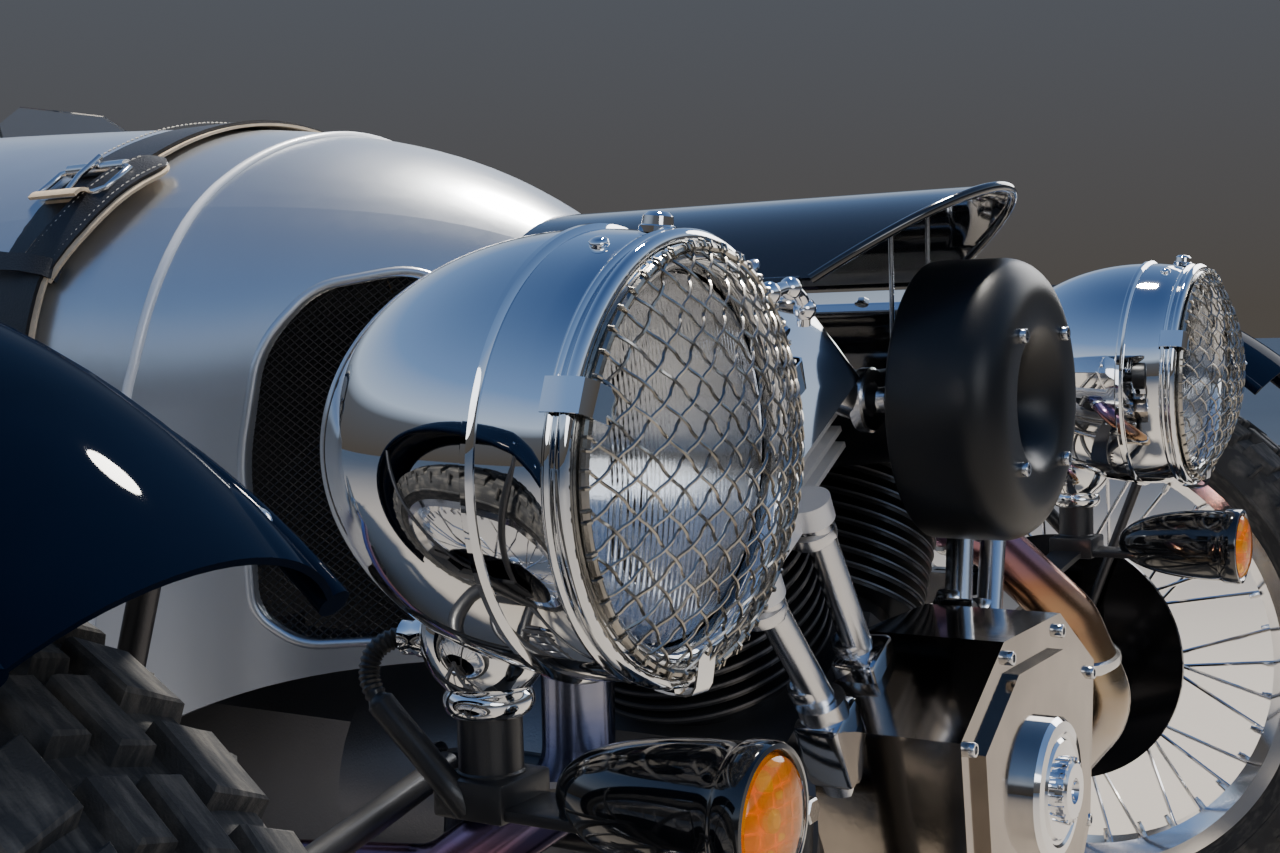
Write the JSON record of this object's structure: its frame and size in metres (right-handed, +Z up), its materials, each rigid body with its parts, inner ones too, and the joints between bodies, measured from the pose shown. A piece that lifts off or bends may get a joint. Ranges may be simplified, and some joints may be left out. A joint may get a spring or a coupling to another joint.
{
  "type": "three-wheeled car",
  "caption": "Open two-seat three-wheeled car with an exposed front V engine, wire front wheels under cycle wings, round headlamps and a barrel tail.",
  "frame": {"origin": "on the ground under the middle of the car's overall box", "axes": "+Z up, the front of the car towards -Y, +X to the car's left"},
  "size_m": [1.704, 3.225, 1],
  "materials": {
    "amber": "amber moulding",
    "black_mesh": "black mesh",
    "black_paint": "gloss black",
    "bright_steel": "bare steel",
    "chrome": "mirror chrome",
    "clear_glass": "clear",
    "dark_steel": "black enamel",
    "engine_alloy": "cast",
    "exhaust": "heat-tinted steel",
    "fins": "black fins",
    "leather": "black hide",
    "navy_paint": "deep gloss navy",
    "plate": "blank plate",
    "polished": "polished",
    "red_lens": "red lens",
    "satin_black": "satin black powder coat",
    "sheet": "sheet",
    "silver_paint": "satin silver",
    "springs": "black springs",
    "trim": "trimmed in hide",
    "tyre": "matt moulded rubber",
    "wheel_metal": "plated rims and spokes"
  },
  "bodies": {
    "root": {"aero_screens": "clear_glass", "air_drum": "satin_black", "body_shell": "silver_paint", "bulkheads": "sheet", "cam_chest": "polished", "controls": "bright_steel", "cowl": "silver_paint", "cowl_grilles": "black_mesh", "cowl_strap": "leather", "cylinder_heads": "polished", "cylinders": "fins", "dampers": "springs", "dashboard": "sheet", "engine_case": "engine_alloy", "exhaust_headers": "exhaust", "floor_pan": "sheet", "frame_tubes": "dark_steel", "indicator_lenses": "amber", "indicators": "black_paint", "lamp_bowls": "chrome", "lamp_brackets": "dark_steel", "lamp_glasses": "clear_glass", "lamp_guards": "bright_steel", "lamp_rims": "chrome", "number_plate": "plate", "pushrod_tubes": "chrome", "rocker_covers": "polished", "roll_hoops": "chrome", "scoop": "black_paint", "seat_backs": "leather", "seat_cushions": "leather", "side_pipes": "exhaust", "steering_column": "dark_steel", "steering_rack": "dark_steel", "swingarm": "dark_steel", "tail_lamps": "red_lens", "tunnel": "trim", "wishbones": "dark_steel"},
    "knuckle_right": {"knuckle_right": "dark_steel", "wing_right": "navy_paint"},
    "knuckle_left": {"knuckle_left": "dark_steel", "wing_left": "navy_paint"},
    "wheel_front_right": {"tyre_front_right": "tyre", "rim_front_right": "wheel_metal"},
    "wheel_front_left": {"tyre_front_left": "tyre", "rim_front_left": "wheel_metal"},
    "wheel_rear": {"tyre_rear": "tyre", "wheel_rear": "wheel_metal"},
    "rack": {"tie_rods": "bright_steel"},
    "steering_wheel": {"steering_wheel": "trim"},
    "boot_lid": {"boot_lid": "silver_paint"}
  },
  "joints": [
    {"name": "steer_right", "type": "hinge", "parent": "root", "child": "knuckle_right", "pos_m": [-0.682, -1.2825, 0.33], "axis": [0, 0, 1], "range_deg": [-28, 28]},
    {"name": "steer_left", "type": "hinge", "parent": "root", "child": "knuckle_left", "pos_m": [0.682, -1.2825, 0.33], "axis": [0, 0, 1], "range_deg": [-28, 28]},
    {"name": "rack_slide", "type": "slide", "parent": "root", "child": "rack", "axis": [1, 0, 0], "range_m": [-0.0543, 0.0543]},
    {"name": "steering_wheel_turn", "type": "hinge", "parent": "root", "child": "steering_wheel", "pos_m": [-0.215, -0.1425, 0.812], "axis": [0, 0.9135, 0.4067], "range_deg": [-280, 280]},
    {"name": "wheel_front_right_spin", "type": "hinge", "parent": "knuckle_right", "child": "wheel_front_right", "pos_m": [-0.782, -1.2825, 0.33], "axis": [1, 0, 0], "continuous": true},
    {"name": "wheel_front_left_spin", "type": "hinge", "parent": "knuckle_left", "child": "wheel_front_left", "pos_m": [0.782, -1.2825, 0.33], "axis": [1, 0, 0], "continuous": true},
    {"name": "wheel_rear_spin", "type": "hinge", "parent": "root", "child": "wheel_rear", "pos_m": [0, 1.1075, 0.31], "axis": [1, 0, 0], "continuous": true},
    {"name": "boot_lid_hinge", "type": "hinge", "parent": "root", "child": "boot_lid", "pos_m": [0, 0.5475, 0.863], "axis": [1, 0, 0], "range_deg": [0, 55]}
  ],
  "couplings": [
    {"joint": "steer_left", "follows": "steer_right", "ratio": 1},
    {"joint": "rack_slide", "follows": "steer_right", "m_per_rad": -0.11},
    {"joint": "steering_wheel_turn", "follows": "steer_right", "ratio": 10}
  ]
}
